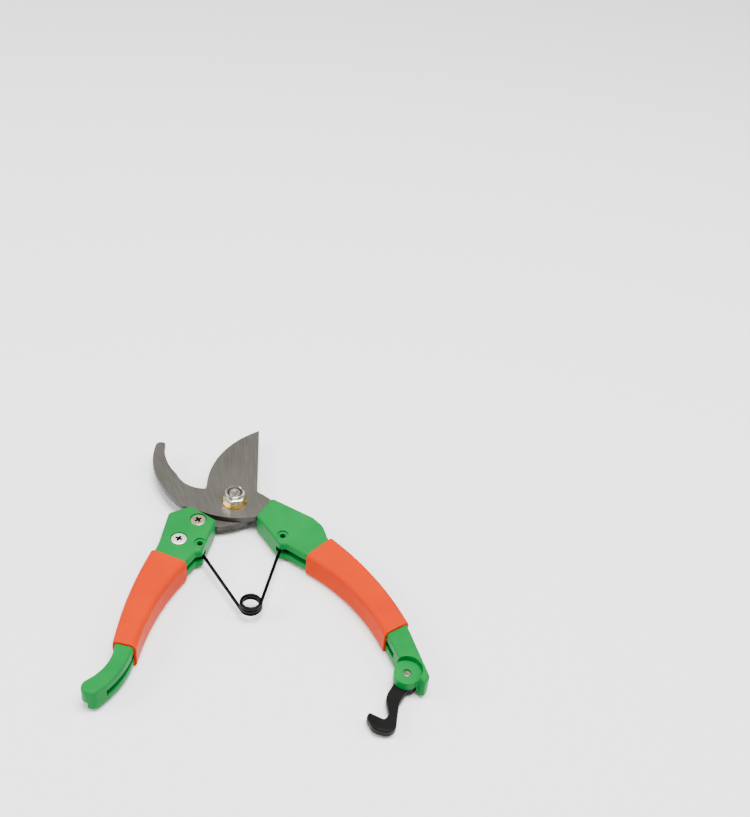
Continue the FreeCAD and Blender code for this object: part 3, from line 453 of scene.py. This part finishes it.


def pan_head_screw():
    """One screw in mm about its own axis, head up, with the seat at height nought."""
    body = turned([(0, -SCREW_LENGTH), (SCREW_SHANK, -SCREW_LENGTH), (SCREW_SHANK, 0),
                   (SCREW_HEAD, 0), (SCREW_HEAD, 1.6), (SCREW_HEAD - 0.12, 1.85),
                   (SCREW_HEAD - 0.4, 2.02),
                   (SCREW_HEAD - 1.0, 2.12), (SCREW_HEAD - 2.0, SCREW_HEAD_HEIGHT),
                   (0, SCREW_HEAD_HEIGHT)])
    across = bmesh.new()
    along = bmesh.new()
    for target, x_size, y_size, x_shrink, y_shrink in (
            (across, CROSS_LENGTH, CROSS_WIDTH, CROSS_END_SLOPE, CROSS_SIDE_SLOPE),
            (along, CROSS_WIDTH, CROSS_LENGTH, CROSS_SIDE_SLOPE, CROSS_END_SLOPE)):
        bar = bmesh.ops.create_cube(target, size=1)["verts"]
        bmesh.ops.scale(target, verts=bar, vec=Vector((x_size, y_size, CROSS_DEPTH * 2)) * MM)
        low = [vertex for vertex in bar if vertex.co.z < 0]
        bmesh.ops.scale(target, verts=low, vec=(x_shrink, y_shrink, 1))
        bmesh.ops.translate(target, verts=bar, vec=(0, 0, SCREW_HEAD_HEIGHT * MM))
    return combined(combined(body, across, "DIFFERENCE"), along, "DIFFERENCE")


screw_zinc = plated_steel("brushed_zinc_screw", "#E8E5DC", "#D8D4C8", 0.4, 0.5)
tarnished_zinc = plated_steel("tarnished_zinc_screw", "#A39A82", "#8C8268", 0.36, 0.6)
# painted shade: the cross faces are coloured dark because the inside of the recess is in shade
cross_painted_shade_steel = plated_steel("painted_shade_cross_steel", "#2A2822", "#161513", 0.5)
for name, half, head_up, turn, metal in (
        ("left_upper_screw", "cutting_half", True, 20, tarnished_zinc),
        ("left_lower_screw", "cutting_half", True, 52, screw_zinc),
        ("right_upper_screw", "hook_half", False, 10, screw_zinc),
        ("right_lower_screw", "hook_half", False, 35, tarnished_zinc)):
    low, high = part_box(name)
    seat = (low + high) / 2
    seat.z = high.z - SCREW_HEAD_HEIGHT * MM
    screw = pan_head_screw()
    bmesh.ops.rotate(screw, verts=screw.verts, matrix=Matrix.Rotation(math.radians(turn), 3, "Z"))
    if not head_up:
        bmesh.ops.rotate(screw, verts=screw.verts, matrix=Matrix.Rotation(math.pi, 3, "X"))
        seat.z = low.z + SCREW_HEAD_HEIGHT * MM
    bmesh.ops.translate(screw, verts=screw.verts, vec=seat)
    made = piece(name + "_pan_head", screw, metal, half, "bright_steel", name)
    # the faces deep in the cross get the painted shade material
    made.data.materials.append(cross_painted_shade_steel)
    for face in made.data.polygons:
        depth = high.z - face.center.z if head_up else face.center.z - low.z
        from_axis = math.hypot(face.center.x - seat.x, face.center.y - seat.y)
        if CROSS_PAINTED_SHADE_DEPTH * MM < depth < SCREW_HEAD_HEIGHT * MM and from_axis < CROSS_LENGTH / 2 * MM:
            face.material_index = 1


# ---------------------------------------------------------------- latch and rivet
# A black moulded hook that swings under the sunk disc at the end of the right handle, on a
# plated rivet whose end is spread into a shallow cup.
LATCH_GRAIN = 0.5 * MM
RIVET_SHANK = 1.5
RIVET_HEAD = 3.1
RIVET_HEAD_TOP = 1.1
RIVET_RIM = 8.95                                 # where the shank's end starts to spread
give(["latch"], moulded_plastic("moulded_black_plastic", "#0F0E0D", "#141312", 0.4, LATCH_GRAIN,
                                gloss=0.06))
rivet_low, rivet_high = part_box("latch_rivet")
rivet = turned([(0, 0.25), (2.2, 0.1), (2.9, 0.45), (RIVET_HEAD, 0.8),
                (RIVET_HEAD, RIVET_HEAD_TOP), (RIVET_SHANK, RIVET_HEAD_TOP),
                (RIVET_SHANK, RIVET_RIM), (1.62, 9.15), (1.6, 9.4), (1.25, 9.45), (0.95, 9.05),
                (0, RIVET_RIM)])
bmesh.ops.translate(rivet, verts=rivet.verts, vec=(
    (rivet_low.x + rivet_high.x) / 2, (rivet_low.y + rivet_high.y) / 2, rivet_low.z))
piece("rivet_spread", rivet, bright_zinc, "hook_half", "bright_steel", "latch_rivet")


# ---------------------------------------------------------------- spring
# One length of black spring wire: a tip stands up in each handle, two straight legs run to
# a close coil of about 2.4 turns.  The coil winds up as the handles close.
WIRE = 1.65
COIL_RADIUS = 4.6
COIL_PITCH = 1.92
LEG_REACH = 41.5
TIP_HEIGHT = 4.6
BEND_RADIUS = 1.3
WIRE_SIDES = 16
SPRING_LEVEL = 7.3                               # height of the coil's middle
LEG_OVERLAP = 0.15                               # the legs run this far into the coil
BEND_STEPS = 6
STEPS_PER_TURN = 40
spring_black = plated_steel("blackened_spring_wire", "#1D1C1C", "#0E0E0E", 0.32)
joints = {joint["name"]: joint for joint in frame["joints"]}
hook = Vector(joints["spring_hook"]["pos_m"]) / MM
coil = Vector(joints["spring_coil"]["pos_m"]) / MM
half_angle = math.acos(COIL_RADIUS / LEG_REACH)
to_hook = math.atan2(hook.y - coil.y, hook.x - coil.x)
pivot_line = math.atan2(-coil.y, -coil.x)
right_foot = to_hook - half_angle
left_foot = 2 * pivot_line - to_hook + half_angle
wound = (right_foot - left_foot) % math.tau + 2 * math.tau
half_rise = COIL_PITCH * wound / math.tau / 2


def wire_ring(mesh, centre, direction):
    """A ring of the wire's section, square to the way the wire runs."""
    turn = direction.to_track_quat("Z", "Y").to_matrix()
    ring = bmesh.ops.create_circle(mesh, cap_ends=False, segments=WIRE_SIDES,
                                   radius=WIRE / 2 * MM)["verts"]
    bmesh.ops.rotate(mesh, verts=ring, cent=(0, 0, 0), matrix=turn)
    bmesh.ops.translate(mesh, verts=ring, vec=centre * MM)
    return ring


def edges_of(verts):
    """The edges that join two of the given vertices."""
    chosen = set(verts)
    return [edge for edge in {e for v in verts for e in v.link_edges}
            if edge.verts[0] in chosen and edge.verts[1] in chosen]


def run_on(mesh, ring, run):
    """Carry the open end of the wire straight on; gives the new open end."""
    made = bmesh.ops.extrude_edge_only(mesh, edges=edges_of(ring))["geom"]
    ring = [part for part in made if isinstance(part, bmesh.types.BMVert)]
    bmesh.ops.translate(mesh, verts=ring, vec=run * MM)
    return ring


def leg(name, side, foot_angle, body, node_name):
    """A leg from the coil to its handle, with the bent tip that stands in the hole."""
    foot = coil + Vector((math.cos(foot_angle), math.sin(foot_angle), 0)) * COIL_RADIUS
    foot.z = SPRING_LEVEL + side * half_rise
    if side > 0:
        hole = hook.copy()
    else:
        away = 2 * pivot_line - to_hook
        hole = coil + Vector((math.cos(away), math.sin(away), 0)) * LEG_REACH
    hole.z = SPRING_LEVEL
    run = hole - foot
    along = run.normalized()
    mesh = bmesh.new()
    ring = wire_ring(mesh, foot - along * LEG_OVERLAP, along)
    ring = run_on(mesh, ring, run - along * (BEND_RADIUS - LEG_OVERLAP))
    axis = along.cross(Vector((0, 0, 1))).normalized()
    lift = axis.cross(along).normalized()
    centre = hole - along * BEND_RADIUS + lift * BEND_RADIUS
    swing = math.acos(along.z)
    turned_up = bmesh.ops.spin(mesh, geom=ring + edges_of(ring), cent=centre * MM, axis=axis,
                               steps=BEND_STEPS, angle=swing)["geom_last"]
    ring = [part for part in turned_up if isinstance(part, bmesh.types.BMVert)]
    ring = run_on(mesh, ring, Vector((0, 0, TIP_HEIGHT - BEND_RADIUS)))
    bmesh.ops.holes_fill(mesh, edges=[edge for edge in mesh.edges if edge.is_boundary])
    bmesh.ops.recalc_face_normals(mesh, faces=mesh.faces)
    piece(name, mesh, spring_black, body, "black_wire", node_name)


leg("spring_leg_right", 1, right_foot, "spring_right", "spring_right_half")
leg("spring_leg_left", -1, left_foot, "spring_left", "spring_left_half")

coil_mesh = bmesh.new()
start = coil + Vector((math.cos(left_foot), math.sin(left_foot), 0)) * COIL_RADIUS
start.z = SPRING_LEVEL - half_rise
slope = COIL_PITCH / math.tau / COIL_RADIUS
tangent = Vector((-math.sin(left_foot), math.cos(left_foot), slope)).normalized()
ring = wire_ring(coil_mesh, start, tangent)
steps = round(wound / math.tau * STEPS_PER_TURN)
bmesh.ops.spin(coil_mesh, geom=ring + edges_of(ring), cent=coil * MM, axis=(0, 0, 1), steps=steps,
               angle=wound, dvec=(0, 0, 2 * half_rise / steps * MM))
bmesh.ops.holes_fill(coil_mesh, edges=[edge for edge in coil_mesh.edges if edge.is_boundary])
bmesh.ops.recalc_face_normals(coil_mesh, faces=coil_mesh.faces)
coil_piece = piece("spring_coil", coil_mesh, spring_black, None, "black_wire")
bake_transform(coil_piece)
